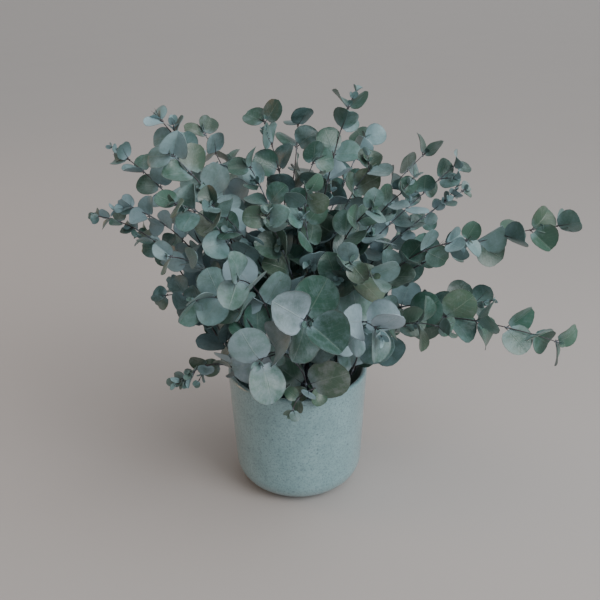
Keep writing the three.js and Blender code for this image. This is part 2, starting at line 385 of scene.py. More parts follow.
def leaf_place(points, chain, neighbours):
    """Where a leaf joins its stem, which way it lies and faces, and its length and width."""
    rim = points[chain]
    root = (rim[0] + rim[-1]) / 2
    far = int(np.argmax(np.linalg.norm(rim - root, axis=1)))
    length = float(np.linalg.norm(rim[far] - root))
    along = (rim[far] - root) / length
    up = np.linalg.svd(rim - rim.mean(axis=0))[2][2]
    up = up - (up @ along) * along
    up /= np.linalg.norm(up)
    on_rim = set(chain)
    heights = [(points[c] - root) @ up for c in neighbours[chain[far]] if c not in on_rim]
    if heights and abs(max(heights)) > abs(min(heights)):
        up = -up  # the upper face is the flatter one
    across = np.cross(up, along)
    return {
        "root": root,
        "along": along,
        "across": across,
        "up": up,
        "length": length,
        "width": float(np.ptp((rim - root) @ across)),
    }


def stem_run(points, chains, neighbours):
    """The middle line of a stem: straight from the pot's floor to its rim, then one smooth bend."""
    leafy = set()
    for chain in chains:
        leafy.update(chain[1:-1])
        for corner in chain[2:-2]:
            leafy.update(neighbours[corner])
    wood = points[[corner for corner in range(len(points)) if corner not in leafy]]
    foot = wood[wood[:, 2] < points[:, 2].min() + FOOT_ZONE].mean(axis=0)
    in_mouth = np.hypot(wood[:, 0], wood[:, 1]) < POT["rim_radius"] - RIM_INSET
    rim = wood[(np.abs(wood[:, 2] - POT["height"]) < RIM_ZONE) & in_mouth].mean(axis=0)
    leaving = (rim - foot) / np.linalg.norm(rim - foot)
    foot = foot - leaving * (foot[2] - POT["floor"] - FOOT_REST) / leaving[2]
    bent = wood[(wood - rim) @ leaving > -BEND_LEAD]
    reach = np.linalg.norm(bent - rim, axis=1)
    powers = np.vander(reach / reach.max(), BEND_TERMS + 1)[:, :-1]
    bend = np.linalg.lstsq(powers, bent - rim, rcond=None)[0]
    steps = np.linspace(0.0, 1.0, RINGS_ABOVE + 1)[1:]
    above = rim + np.vander(steps, BEND_TERMS + 1)[:, :-1] @ bend
    below = foot + np.linspace(0.0, 1.0, RINGS_BELOW)[:, None] * (rim - foot)
    return np.vstack([below, above])


def read_sprig(name):
    """The leaves of one packed sprig, and the run of its stem."""
    points, faces, normals = welded(name)
    chains, neighbours = leaf_rims(faces, normals)
    leaves = [leaf_place(points, chain, neighbours) for chain in chains]
    return {"name": name, "leaves": leaves, "run": stem_run(points, chains, neighbours)}


def read_pot():
    """The pot's driving sizes, from its packed outline."""
    points = welded("pot")[0]
    radius, height = np.hypot(points[:, 0], points[:, 1]), points[:, 2]
    top = float(height.max())
    low = height < top / 2
    low_radius = float(radius[low].max())
    foot_radius = float(radius[height < 1e-5].max())
    floor = float(height[(radius < 1e-5) & (height > 1e-4)].max())
    inside = low & (height > floor + 0.001) & (radius < low_radius - 0.001)
    inside &= height > height[inside].max() - 1e-4
    return {
        "rim_radius": float(radius.max()),
        "height": top,
        "low_radius": low_radius,
        "bend": low_radius - foot_radius,
        "floor": floor,
        "wall": low_radius - float(radius[inside].max()),
    }


POT = read_pot()
SPRIGS = [read_sprig(name) for name in SPRIG_NAMES]


# ------ mesh helpers


class Shape:
    """Corners, faces and painted values gathered for one mesh.

    A painted value has three numbers at each corner:
    blade is the share along a leaf, the share across it from -1 to 1, and 1 on its under side;
    tone is how much bloom, green and drying a leaf has, with painted light and shade in the bloom
    and the green;
    growth is how young the wood is, the bloom on its bark with a painted highlight at its joints,
    and how far a leaf has faded.
    """

    def __init__(self):
        self.corners, self.faces, self.finishes = [], [], []
        self.values = {}
        self.count = 0

    def add(self, corners, faces, finish=0, **values):
        """Adds faces with one finish, and painted values for one corner or for each."""
        self.corners.append(corners)
        self.faces += [tuple(int(c) + self.count for c in face) for face in faces]
        self.finishes += [finish] * len(faces)
        for name, value in values.items():
            rows = np.broadcast_to(np.asarray(value, float), (len(corners), 3))
            self.values.setdefault(name, []).append((self.count, rows))
        self.count += len(corners)

    def build(self, name, materials, crease=math.radians(55)):
        """Makes the object, smooth but for edges sharper than the crease."""
        mesh = bpy.data.meshes.new(name)
        mesh.from_pydata(np.vstack(self.corners).tolist(), [], self.faces)
        for value_name, parts in self.values.items():
            painted = np.zeros((self.count, 3))
            for start, rows in parts:
                painted[start : start + len(rows)] = rows
            layer = mesh.attributes.new(value_name, "FLOAT_VECTOR", "POINT")
            layer.data.foreach_set("vector", painted.ravel())
        for material in materials:
            mesh.materials.append(material)
        mesh.polygons.foreach_set("material_index", self.finishes)
        mesh.polygons.foreach_set("use_smooth", [True] * len(mesh.polygons))
        mesh.set_sharp_from_angle(angle=crease)
        mesh.update()
        piece = bpy.data.objects.new(name, mesh)
        bpy.context.scene.collection.objects.link(piece)
        return piece


def unit(vector):
    """The same direction, one long."""
    return vector / max(float(np.linalg.norm(vector)), 1e-12)


def tube(points, radii, sides):
    """A closed tube along a line of points."""
    points, radii = np.asarray(points, float), np.asarray(radii, float)
    heading = np.gradient(points, axis=0)
    is_upright = abs(unit(heading[0])[2]) >= 0.9
    side = unit(np.cross(heading[0], [1.0, 0.2, 0.0] if is_upright else [0.31, 0.17, 0.93]))
    turns = np.linspace(0, 2 * math.pi, sides, endpoint=False)
    corners = []
    for point, ahead, radius in zip(points, heading, radii):
        ahead = unit(ahead)
        side = unit(side - (side @ ahead) * ahead)
        other = np.cross(ahead, side)
        ring = np.cos(turns)[:, None] * side + np.sin(turns)[:, None] * other
        corners.append(point + radius * ring)
    corners = np.vstack(corners)
    faces = []
    for ring in range(len(points) - 1):
        a, b = ring * sides, (ring + 1) * sides
        for k in range(sides):
            n = (k + 1) % sides
            faces.append((a + k, a + n, b + n, b + k))
    faces.append(tuple(range(sides))[::-1])
    faces.append(tuple(range((len(points) - 1) * sides, len(points) * sides)))
    return corners, faces


def lathe(profile, sides):
    """A closed surface from an outline of (radius, height) that starts and ends on the axis."""
    turns = np.linspace(0, 2 * math.pi, sides, endpoint=False)
    inner = profile[1:-1]
    corners = [(0, 0, profile[0][1])]
    for radius, height in inner:
        corners += [(radius * math.cos(t), radius * math.sin(t), height) for t in turns]
    corners.append((0, 0, profile[-1][1]))
    faces = []
    for k in range(sides):
        n = (k + 1) % sides
        faces.append((0, 1 + n, 1 + k))
        for ring in range(len(inner) - 1):
            a, b = 1 + ring * sides, 1 + (ring + 1) * sides
            faces.append((a + k, a + n, b + n, b + k))
        last = 1 + (len(inner) - 1) * sides
        faces.append((last + k, last + n, len(corners) - 1))
    return np.array(corners, float), faces


# ------ material helpers


def new_material(name):
    """A material, its nodes and its shader."""
    material = bpy.data.materials.new(name)
    material.use_nodes = True
    tree = material.node_tree
    return material, tree, tree.nodes["Principled BSDF"]


def feed(tree, socket, value):
    """Links a socket to another, or sets it to a number or a colour."""
    if isinstance(value, bpy.types.NodeSocket):
        tree.links.new(value, socket)
    elif socket.type == "RGBA":
        socket.default_value = (*value, 1.0)
    else:
        socket.default_value = value


def new_node(tree, kind, values, **settings):
    """A node with its settings, and with its inputs set or linked."""
    node = tree.nodes.new(kind)
    for name, setting in settings.items():
        setattr(node, name, setting)
    for key, value in values.items():
        feed(tree, node.inputs[key], value)
    return node


def maths(tree, operation, first, second=0.0, clamp=False):
    """One sum on numbers or sockets."""
    values = {0: first, 1: second}
    node = new_node(tree, "ShaderNodeMath", values, operation=operation, use_clamp=clamp)
    return node.outputs[0]


def blend_colour(tree, share, first, second):
    """The first colour with a share of the second mixed in."""
    values = {0: share, 6: first, 7: second}
    return new_node(tree, "ShaderNodeMix", values, data_type="RGBA").outputs[2]


def ramp(tree, value, low, high, to_low=0.0, to_high=1.0):
    """Brings a value from one range to another with soft ends."""
    ends = {"From Min": low, "From Max": high, "To Min": to_low, "To Max": to_high}
    values = {"Value": value, **ends}
    node = new_node(tree, "ShaderNodeMapRange", values, interpolation_type="SMOOTHSTEP")
    return node.outputs["Result"]


def place_on(tree):
    """The place on the object, for patterns that stay with it."""
    return tree.nodes.new("ShaderNodeTexCoord").outputs["Object"]


def noise(tree, place, scale, detail=3.0, roughness=0.55):
    """Cloudy noise from 0 to 1, with scale patches to the metre."""
    values = {"Vector": place, "Scale": scale, "Detail": detail, "Roughness": roughness}
    return new_node(tree, "ShaderNodeTexNoise", values).outputs["Fac"]


def painted(tree, name):
    """The three painted numbers of a mesh value, one socket each."""
    node = new_node(tree, "ShaderNodeAttribute", {}, attribute_name=name)
    return tuple(new_node(tree, "ShaderNodeSeparateXYZ", {0: node.outputs["Vector"]}).outputs)


def bump(tree, height, strength, distance, under=None):
    """Surface relief from a height, on top of any relief under it."""
    values = {"Strength": strength, "Distance": distance, "Height": height}
    if under is not None:
        values["Normal"] = under
    return new_node(tree, "ShaderNodeBump", values).outputs["Normal"]


# ------ finishes


def glaze_material(looks):
    """Satin sage glaze: cloudy where it lies thick, with fine soft specks all over."""
    material, tree, shader = new_material("speckled_glaze")
    place = place_on(tree)
    cloud = noise(tree, place, 46.0, 4.0)
    thick = ramp(tree, cloud, 0.35, 0.68)
    colour = blend_colour(tree, thick, looks.glaze_colour, looks.pale_colour)
    mottle = ramp(tree, noise(tree, place, 520.0, 3.0, 0.65), 0.42, 0.70, 0.0, 0.50)
    colour = blend_colour(tree, mottle, colour, looks.speck_colour)
    wells = None
    for spacing, size, share in ((1.0, 0.20, 0.55), (2.9, 0.10, 0.75)):
        scale = 1.0 / (looks.speck_spacing * spacing)
        cells = new_node(tree, "ShaderNodeTexVoronoi", {"Vector": place, "Scale": scale})
        chance = new_node(tree, "ShaderNodeSeparateColor", {0: cells.outputs["Color"]})
        rim = maths(tree, "MULTIPLY", chance.outputs[0], size * 2)
        inside = maths(tree, "SUBTRACT", rim, cells.outputs["Distance"])
        speck = ramp(tree, inside, 0.0, 0.07, 0.0, share)
        colour = blend_colour(tree, speck, colour, looks.speck_colour)
        wells = speck if wells is None else maths(tree, "MAXIMUM", wells, speck)
    feed(tree, shader.inputs["Base Color"], colour)
    worn = noise(tree, place, 90.0, 3.0)
    roughness = ramp(tree, worn, 0.3, 0.7, looks.roughness - 0.06, looks.roughness + 0.08)
    feed(tree, shader.inputs["Roughness"], roughness)
    skin = bump(tree, noise(tree, place, 160.0, 2.0), 0.25, 0.0006)
    skin = bump(tree, maths(tree, "MULTIPLY", wells, -1.0), 0.2, 0.0002, skin)
    feed(tree, shader.inputs["Normal"], skin)
    shader.inputs["Specular IOR Level"].default_value = 0.5
    shader.inputs["Coat Weight"].default_value = 0.8
    shader.inputs["Coat Roughness"].default_value = 0.10
    return material


def bark_material(looks):
    """Thin woody stem: brown-purple, redder at the tip, with rubbed powdery bloom, paler at the
    joints as a painted highlight.
    """
    material, tree, shader = new_material("eucalyptus_bark")
    place = place_on(tree)
    age, powder_and_glint, _ = painted(tree, "growth")
    colour = blend_colour(tree, ramp(tree, age, 0.45, 1.0), looks.bark_colour, looks.shoot_colour)
    patches = noise(tree, place, 130.0, 4.0, 0.65)
    # Bloom patches, with a painted highlight where the bark is near a joint.
    dust_and_glint = maths(tree, "ADD", maths(tree, "MULTIPLY", patches, 1.3), powder_and_glint)
    dust_and_glint = ramp(tree, maths(tree, "SUBTRACT", dust_and_glint, 1.05), 0.0, 0.55, 0.0, 0.8)
    colour = blend_colour(tree, dust_and_glint, colour, looks.bloom_colour)
    grain = noise(tree, place, 1500.0, 2.0)
    colour = blend_colour(tree, ramp(tree, grain, 0.4, 0.7, 0.0, 0.35), colour, looks.bark_colour)
    feed(tree, shader.inputs["Base Color"], colour)
    feed(tree, shader.inputs["Roughness"], ramp(tree, patches, 0.3, 0.7, 0.28, 0.52))
    feed(tree, shader.inputs["Normal"], bump(tree, grain, 0.5, 0.0003))
    shader.inputs["Specular IOR Level"].default_value = 0.6
    return material


def leaf_material(looks):
    """Dried leaf: green under a blue-grey waxy bloom, pale midrib, faint veins, darker margin."""
    material, tree, shader = new_material("eucalyptus_leaf")
    place = place_on(tree)
    along, across, under = painted(tree, "blade")
    bloom, depth, drying = painted(tree, "tone")
    _, _, fading = painted(tree, "growth")
    off_middle = maths(tree, "ABSOLUTE", across)

    patches = noise(tree, place, 95.0, 4.0, 0.6)
    rubbed = noise(tree, place, 520.0, 3.0, 0.6)
    powder_and_glint = bloom
    for cloud, weight in ((patches, 1.1), (rubbed, 0.35)):
        uneven = maths(tree, "MULTIPLY", maths(tree, "SUBTRACT", cloud, 0.5), weight)
        powder_and_glint = maths(tree, "ADD", powder_and_glint, uneven)
    # Leaf bases paler: partly real bloom, partly a painted highlight.
    powder_and_glint = maths(tree, "ADD", powder_and_glint, ramp(tree, along, 0.0, 0.30, 0.35, 0.0))
    powder_and_glint = maths(tree, "ADD", powder_and_glint, maths(tree, "MULTIPLY", under, 0.25), clamp=True)

    green = blend_colour(tree, depth, looks.deep_colour, looks.green_colour)
    brown_patches = ramp(tree, patches, 0.35, 0.75, 0.35, 1.0)
    dried = maths(tree, "MULTIPLY", drying, brown_patches, clamp=True)
    green = blend_colour(tree, dried, green, looks.dry_colour)
    wax = blend_colour(tree, fading, looks.bloom_colour, looks.faded_colour)
    colour = blend_colour(tree, maths(tree, "MULTIPLY", powder_and_glint, 0.92), green, wax)

    slant = maths(tree, "SUBTRACT", along, maths(tree, "MULTIPLY", off_middle, 0.34))
    wander = maths(tree, "MULTIPLY", patches, 0.10)
    ladder = maths(tree, "MULTIPLY", maths(tree, "ADD", slant, wander), VEIN_PAIRS)
    off_vein = maths(tree, "SUBTRACT", maths(tree, "FRACT", ladder), 0.5)
    vein = ramp(tree, maths(tree, "ABSOLUTE", off_vein), 0.0, 0.09, 1.0, 0.0)
    vein = maths(tree, "MULTIPLY", vein, ramp(tree, off_middle, 0.55, 0.95, 1.0, 0.0))
    midrib = ramp(tree, off_middle, 0.010, 0.045, 1.0, 0.0)
    lines = maths(tree, "MAXIMUM", midrib, maths(tree, "MULTIPLY", vein, 0.35))
    colour = blend_colour(tree, maths(tree, "MULTIPLY", lines, 0.20), colour, VEIN_COLOUR)
    margin = ramp(tree, off_middle, 0.90, 0.99, 0.0, 0.35)
    colour = blend_colour(tree, margin, colour, MARGIN_COLOUR)
    feed(tree, shader.inputs["Base Color"], colour)

    feed(tree, shader.inputs["Roughness"], ramp(tree, powder_and_glint, 0.1, 0.9, 0.35, 0.54))
    fine = noise(tree, place, 2600.0, 2.0)
    skin = bump(tree, fine, 0.18, 0.0002)
    skin = bump(tree, lines, 0.45, 0.0004, skin)
    feed(tree, shader.inputs["Normal"], bump(tree, patches, 0.35, 0.0016, skin))
    shader.inputs["Specular IOR Level"].default_value = 0.62
    shader.inputs["Sheen Weight"].default_value = 0.12
    shader.inputs["Sheen Roughness"].default_value = 0.5
    return material


def floor_material(looks):
    """Plain matt floor with a very slight drift in its tone."""
    material, tree, shader = new_material("plain_floor")
    drift = noise(tree, place_on(tree), 2.2, 2.0)
    darker = tuple(0.96 * c for c in looks.floor_colour)
    feed(tree, shader.inputs["Base Color"], blend_colour(tree, drift, darker, looks.floor_colour))
    shader.inputs["Roughness"].default_value = 0.62
    shader.inputs["Specular IOR Level"].default_value = 0.3
    return material


def finish(name, make, looks):
    """A finish made once and shared by every piece that has it."""
    return bpy.data.materials.get(name) or make(looks)


# ------ leaves


def blade_grid(rows, columns):
    """Shares along a leaf, closer together at its ends, and shares across it."""
    along = (1 - np.cos(np.linspace(0, math.pi, rows + 1)[1:-1])) / 2
    spread = np.linspace(-1, 1, columns)
    across = np.sign(spread) * np.abs(spread) ** EDGE_CROWDING
    return along, across


def blade_shape(along, across, leaf, habit):
    """Points of a leaf's middle surface for shares along and across it, in the leaf's own axes."""
    length, half = leaf["length"], leaf["width"] / 2
    neck = habit["neck"] * length
    off_middle = np.abs(2 * along ** habit["early"] - 1)
    swell = np.clip(1 - off_middle**OUTLINE_POWER, 0, 1) ** (1 / OUTLINE_ROOT)
    to_edge = length * np.abs(across) ** 1.6
    x = neck + (length - neck) * along
    x = x - habit["lobe"] * to_edge * (1 - along) ** LOBE_POWER
    x = x + habit["brow"] * to_edge * along**BROW_POWER
    y = half * swell * across * (1 + habit["lean"] * np.sign(across))
    spread = y / half
    ripple = np.sin(2 * math.pi * RIPPLES * along + habit["phase"]) * across * np.abs(across)
    z = habit["cup"] * length * spread**2 + habit["fold"] * np.abs(y)
    z = z + habit["curl"] * length * ((along - 0.3) ** 2 - 0.09)
    z = z + habit["wave"] * length * ripple
    z = z + habit["skew"] * y * (along - 0.2)
    return np.stack([x, y, z], axis=-1)


def swung(leaf, random):
    """The same leaf, swung a little on its stalk."""
    lift, roll, yaw = random.normal(size=3) * SWING
    turn = Matrix.Rotation(roll, 3, Vector(leaf["along"]))
    turn = turn @ Matrix.Rotation(lift, 3, Vector(leaf["across"]))
    turn = np.array(turn @ Matrix.Rotation(yaw, 3, Vector(leaf["up"])))
    moved = {axis: turn @ leaf[axis] for axis in ("along", "across", "up")}
    return {**leaf, **moved}


def leaf_habit(random, looks):
    """How one leaf dried: its cup, fold, curl, waves and the shape of its ends.

    Most leaves are nearly flat, and about one in six is folded and one in six rolled back.
    """
    cup = looks.cupping * random.choice([-0.6, 0.3, 1.0, 1.7], p=[0.22, 0.28, 0.3, 0.2])
    folds = [random.uniform(-0.02, 0.12), random.uniform(0.3, 0.75)]
    fold = random.choice(folds, p=[0.83, 0.17])
    curls = [random.uniform(-0.26, 0.12), random.uniform(-0.62, -0.4)]
    curl = random.choice(curls, p=[0.84, 0.16])
    return {
        "neck": random.uniform(0.06, 0.11),
        "early": random.uniform(0.84, 0.98),
        "lobe": random.uniform(0.02, 0.10),
        "brow": random.choice([0.0, random.uniform(0.02, 0.05)], p=[0.6, 0.4]),
        "lean": random.uniform(-0.06, 0.06),
        "cup": cup * random.uniform(0.7, 1.2),
        "fold": fold,
        "curl": curl,
        "wave": random.uniform(0.0, 0.045),
        "skew": random.uniform(-0.14, 0.14),
        "phase": random.uniform(0, 2 * math.pi),
        "notch": random.choice([0.0, random.uniform(0.01, 0.045), -0.03], p=[0.45, 0.35, 0.20]),
    }


def add_leaf(shape, leaf, habit, tone, growth, looks):
    """One leaf blade of real thickness, with its stalk running into a rib below it."""
    rows, columns = (9, 7) if leaf["length"] > BIG_LEAF else (7, 5)
    along, across = blade_grid(rows, columns)
    axes = np.stack([leaf["along"], leaf["across"], leaf["up"]])
    s, t = np.meshgrid(along, across, indexing="ij")
    s = np.concatenate([[0.0], s.ravel(), [1.0]])
    t = np.concatenate([[0.0], t.ravel(), [0.0]])
    local = blade_shape(s, t, leaf, habit)
    local[-1, 0] -= habit["notch"] * leaf["length"]
    middle = leaf["root"] + local @ axes
    thinning = 0.6 + 0.4 * min(leaf["length"] / FULL_LEAF, 1.0)
    half = leaf["up"] * looks.thickness / 2 * thinning
    count = len(middle)
    grid = 1 + np.arange(len(along) * columns).reshape(len(along), columns)
    end = count - 1
    top = [(0, grid[0, j], grid[0, j + 1]) for j in range(columns - 1)]
    for i in range(len(along) - 1):
        for j in range(columns - 1):
            top.append((grid[i, j], grid[i + 1, j], grid[i + 1, j + 1], grid[i, j + 1]))
    top += [(grid[-1, j], end, grid[-1, j + 1]) for j in range(columns - 1)]
    bottom = [tuple(count + c for c in reversed(face)) for face in top]
    loop = [0, *grid[:, 0], end, *grid[::-1, -1]]
    rim = [(count + a, count + b, b, a) for a, b in zip(loop, loop[1:] + loop[:1])]
    blade = np.stack([np.r_[s, s], np.r_[t, t], np.r_[np.zeros(count), np.ones(count)]], axis=1)
    corners = np.vstack([middle + half, middle - half])
    shape.add(corners, top + bottom + rim, blade=blade, tone=tone, growth=growth)
    rib = blade_shape(RIB_SHARES, np.zeros(len(RIB_SHARES)), leaf, habit)
    rib[:, 2] -= looks.thickness * 0.35
    line = leaf["root"] + np.vstack([STALK_START, rib]) @ axes
    stalk = STALK_RADIUS + STALK_GROWTH * leaf["length"]
    add_wood(shape, line, stalk * RIB_TAPER, growth, tone)


def add_wood(shape, line, radii, growth, tone=(0.5, 0.5, 0.2), sides=5):
    """A stalk, twig or bud on a piece of leaves."""
    corners, faces = tube(line, radii, sides)
    shape.add(corners, faces, finish=1, blade=(0, 0, 1), tone=tone, growth=growth)


def stem_radii(run, looks, nodes):
    """Taper from foot to tip, with a small swelling where each pair of leaves joins.

    Gives the radii, the share of the length at each ring, and how near each ring is to a joint.
    """
    steps = np.r_[0, np.cumsum(np.linalg.norm(np.diff(run, axis=0), axis=1))]
    share = steps / steps[-1]
    radii = looks.foot_radius + (looks.tip_radius - looks.foot_radius) * share**0.9
    joint = np.zeros(len(steps))
    for node in nodes:
        radii = radii * (1 + JOINT_SWELL * np.exp(-(((steps - node) / JOINT_LENGTH) ** 2)))
        joint = np.maximum(joint, np.exp(-(((steps - node) / JOINT_BLOOM_AND_GLINT_LENGTH) ** 2)))
    return radii, share, joint


def refine_run(run, roots):
    """A stem's middle line with more rings where leaves join, and the joints' places along it."""
    steps = np.r_[0, np.cumsum(np.linalg.norm(np.diff(run, axis=0), axis=1))]
    nodes = [float(steps[np.argmin(np.linalg.norm(run - root, axis=1))]) for root in roots]
    marks = np.concatenate([steps, *(node + JOINT_RINGS for node in nodes)])
    marks = np.unique(np.round(np.clip(marks, 0, steps[-1]), 5))
    marks = marks[np.r_[True, np.diff(marks) > LEAST_RING_GAP]]
    return np.stack([np.interp(marks, steps, run[:, k]) for k in range(3)], axis=1), nodes


def between(value, low, high):
    """How far a value is on its way from low to high, from 0 to 1."""
    return np.clip((value - low) / (high - low), 0, 1)


def sprig_character(index):
    """How much bloom, green, drying and fading one whole sprig has.

    The low front sprigs and the tall ones at the left kept most of their bloom. The tall ones in
    the middle and the long ones at the right are greener, and so are all the tips but the front's.
    """
    random = np.random.RandomState(CHARACTER_SEED + index)
    tip = SPRIGS[index]["run"][-1]
    front = between(-tip[1], 0.07, 0.13) * between(-tip[2], -0.27, -0.22)
    left = between(-tip[0], 0.08, 0.13) * between(tip[2], 0.24, 0.30)
    long_right = between(tip[0], 0.17, 0.23)
    bloom = 0.30 + 0.31 * front + 0.30 * left - 0.05 * long_right
    return {
        "bloom": bloom + random.choice([-0.16, 0.02, 0.26], p=[0.38, 0.36, 0.26]),
        "depth": random.uniform(0.15, 0.85),
        "drying": random.choice([0.02, 0.15, 0.45], p=[0.55, 0.28, 0.17]),
        "fresh_tip": 0.30 * (1 - front),
        "fading": min(0.75 * front + 0.3 * left + random.choice([0.0, 0.3], p=[0.7, 0.3]), 1.0),
    }


def leaf_skins(scene):
    """The finishes of a piece of leaves: the blades, then the wood."""
    return [
        finish("eucalyptus_leaf", leaf_material, scene.eucalyptus_leaf),
        finish("eucalyptus_bark", bark_material, scene.eucalyptus_stem),
    ]


# ------ operators


class EUCALYPTUS_OT_pot(bpy.types.Operator):
    """Build the glazed pot"""

    bl_idname = "eucalyptus.pot"
    bl_label = "Pot"

    def execute(self, context):
        looks = context.scene.eucalyptus_pot
        corners, faces = lathe(pot_profile(POT), looks.sides)
        shape = Shape()
        shape.add(corners, faces)
        piece = shape.build("glazed_pot", [finish("speckled_glaze", glaze_material, looks)])
        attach(piece, "root")
        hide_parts("pot")
        return {"FINISHED"}


def arc(x, y, radius, start, stop, steps):
    """Points round a middle, from one angle in degrees to another."""
    angles = np.radians(np.linspace(start, stop, steps + 1))
    return [(x + radius * math.cos(a), y + radius * math.sin(a)) for a in angles]


def pot_profile(size):
    """Outline of the pot: softly bent foot, slightly flared wall, rounded lip, hollow inside."""
    rim, low, bend, wall = size["rim_radius"], size["low_radius"], size["bend"], size["wall"]
    lip = wall / 2
    inner = bend - wall
    outer_foot = arc(low - bend, bend, bend, -90, 0, 14)
    lip_arc = arc(rim - lip, size["height"] - lip, lip, 0, 180, 12)
    inner_foot = arc(low - bend, size["floor"] + inner, inner, 0, -90, 10)

    def straight(a, b, steps):
        """Points between two others."""
        shares = np.linspace(0, 1, steps + 1)[1:-1]
        return [(a[0] + (b[0] - a[0]) * k, a[1] + (b[1] - a[1]) * k) for k in shares]

    return [
        (0.0, FOOT_RECESS),
        (low - bend - RECESS_EDGE, FOOT_RECESS),
        (low - bend - RING_INNER, 0.0),
        (low - bend - RING_OUTER, 0.0),
        *outer_foot[1:],
        *straight(outer_foot[-1], lip_arc[0], 14),
        *lip_arc,
        *straight(lip_arc[-1], inner_foot[0], 12),
        *inner_foot,
        (0.0, size["floor"]),
    ]


class EUCALYPTUS_OT_stems(bpy.types.Operator):
    """Build the stem of every sprig"""

    bl_idname = "eucalyptus.stems"
    bl_label = "Stems"

    def execute(self, context):
        looks = context.scene.eucalyptus_stem
        bark = finish("eucalyptus_bark", bark_material, looks)
        for index, sprig in enumerate(SPRIGS):
            roots = [leaf["root"] for leaf in sprig["leaves"]]
            run, nodes = refine_run(sprig["run"], roots)
            radii, share, joint = stem_radii(run, looks, nodes)
            corners, faces = tube(run, radii, STEM_SIDES)
            # Extra bloom near each joint, partly real bloom and partly a painted highlight.
            powder_and_glint = np.random.RandomState(BARK_SEED + index).uniform(0.2, 0.75) + 0.45 * joint
            growth = np.stack([share, powder_and_glint, np.zeros(len(share))], axis=1)
            shape = Shape()
            shape.add(corners, faces, growth=np.repeat(growth, STEM_SIDES, axis=0))
            piece = shape.build(sprig["name"] + "_stem", [bark])
            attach(piece, "root")
            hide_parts(sprig["name"])
        return {"FINISHED"}


class EUCALYPTUS_OT_leaves(bpy.types.Operator):
    """Build the leaves of every sprig, each with its stalk and rib"""

    bl_idname = "eucalyptus.leaves"
    bl_label = "Leaves"

    def execute(self, context):
        looks = context.scene.eucalyptus_leaf
        skins = leaf_skins(context.scene)
        for index, sprig in enumerate(SPRIGS):
            random = np.random.RandomState(LEAF_SEED + index)
            character = sprig_character(index)
            full_reach = np.linalg.norm(sprig["run"][-1] - sprig["run"][0])
            shape = Shape()
            for leaf in sprig["leaves"]:
                # Leaves that face up are made a little paler below, as painted light from above.
                facing_up = max(float(leaf["up"][2]), 0.0)
                own = random.choice([-0.26, 0.0, 0.28, 0.62], p=[0.38, 0.28, 0.22, 0.12])
                own += random.uniform(-0.06, 0.06)
                # Leaves near the bunch's middle lose bloom and green below: painted shade.
                inner = 1 - between(np.hypot(*leaf["root"][:2]), 0, SHADED_HEART_RADIUS)
                reach = np.linalg.norm(leaf["root"] - sprig["run"][0])
                own -= character["fresh_tip"] * between(reach / full_reach, FRESH_FROM, FRESH_TO)
                bloom = character["bloom"] + own + 0.06 * facing_up - 0.35 * inner
                depth = character["depth"] + random.uniform(-0.25, 0.25) - 0.4 * inner
                drying = character["drying"] + random.choice([-0.1, 0.08, 0.45], p=[0.5, 0.4, 0.1])
                tone = np.clip([bloom, depth, drying], 0, 1)
                fading = character["fading"] * random.uniform(0.4, 1.0)
                growth = (min(reach / LONGEST_REACH, 1.0), 0.5, fading)
                leaf = swung(leaf, random)
                add_leaf(shape, leaf, leaf_habit(random, looks), tone, growth, looks)
            piece = shape.build(sprig["name"] + "_leaves", skins)
            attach(piece, "root")
            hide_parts(sprig["name"])
        return {"FINISHED"}


def young_leaf(root, ahead, side, random, low, high):
    """A small leaf near a growing tip, lying between straight ahead and out to its side."""
    along = unit(ahead * random.uniform(0.8, 1.2) + side * random.uniform(0.5, 0.9))
    up = unit(ahead + 0.2 * random.normal(size=3))
    up = unit(up - (up @ along) * along)
    length = random.uniform(low, high)
    return {
        "root": root,
        "along": along,
        "up": up,
        "across": np.cross(up, along),
        "length": length,
        "width": length * random.uniform(0.6, 0.9),
    }


def add_side_shoot(shape, leaf, ahead, character, random, looks):
    """A short twig from between a leaf and its stem, with two pairs of small leaves."""
    heading = unit(0.8 * ahead + 0.55 * leaf["along"] + 0.25 * random.normal(size=3))
    reach = random.uniform(0.007, 0.019)
    bend = 0.15 * reach * random.normal(size=3)
    shares = (-0.1, 0.25, 0.5, 0.75, 1.0)
    twig = [leaf["root"] + heading * reach * k + bend * k * k for k in shares]
    add_wood(shape, twig, np.array([0.5, 0.45, 0.38, 0.32, 0.15]) / 1000, (0.9, 0.5, 0))
    side = unit(np.cross(heading, unit(random.normal(size=3))))
    for share in (0.55, 0.97):
        root = leaf["root"] + heading * reach * share + bend * share * share
        side = unit(np.cross(heading, side))
        tone = (
            np.clip(character["bloom"] + random.uniform(-0.25, 0.4), 0, 1),
            random.uniform(0.3, 1.0),
            character["drying"],
        )
        for sense in (-1, 1):
            small = young_leaf(root, heading, sense * side, random, 0.0055, 0.0105)
            add_leaf(shape, small, leaf_habit(random, looks), tone, (0.9, 0.5, 0.0), looks)


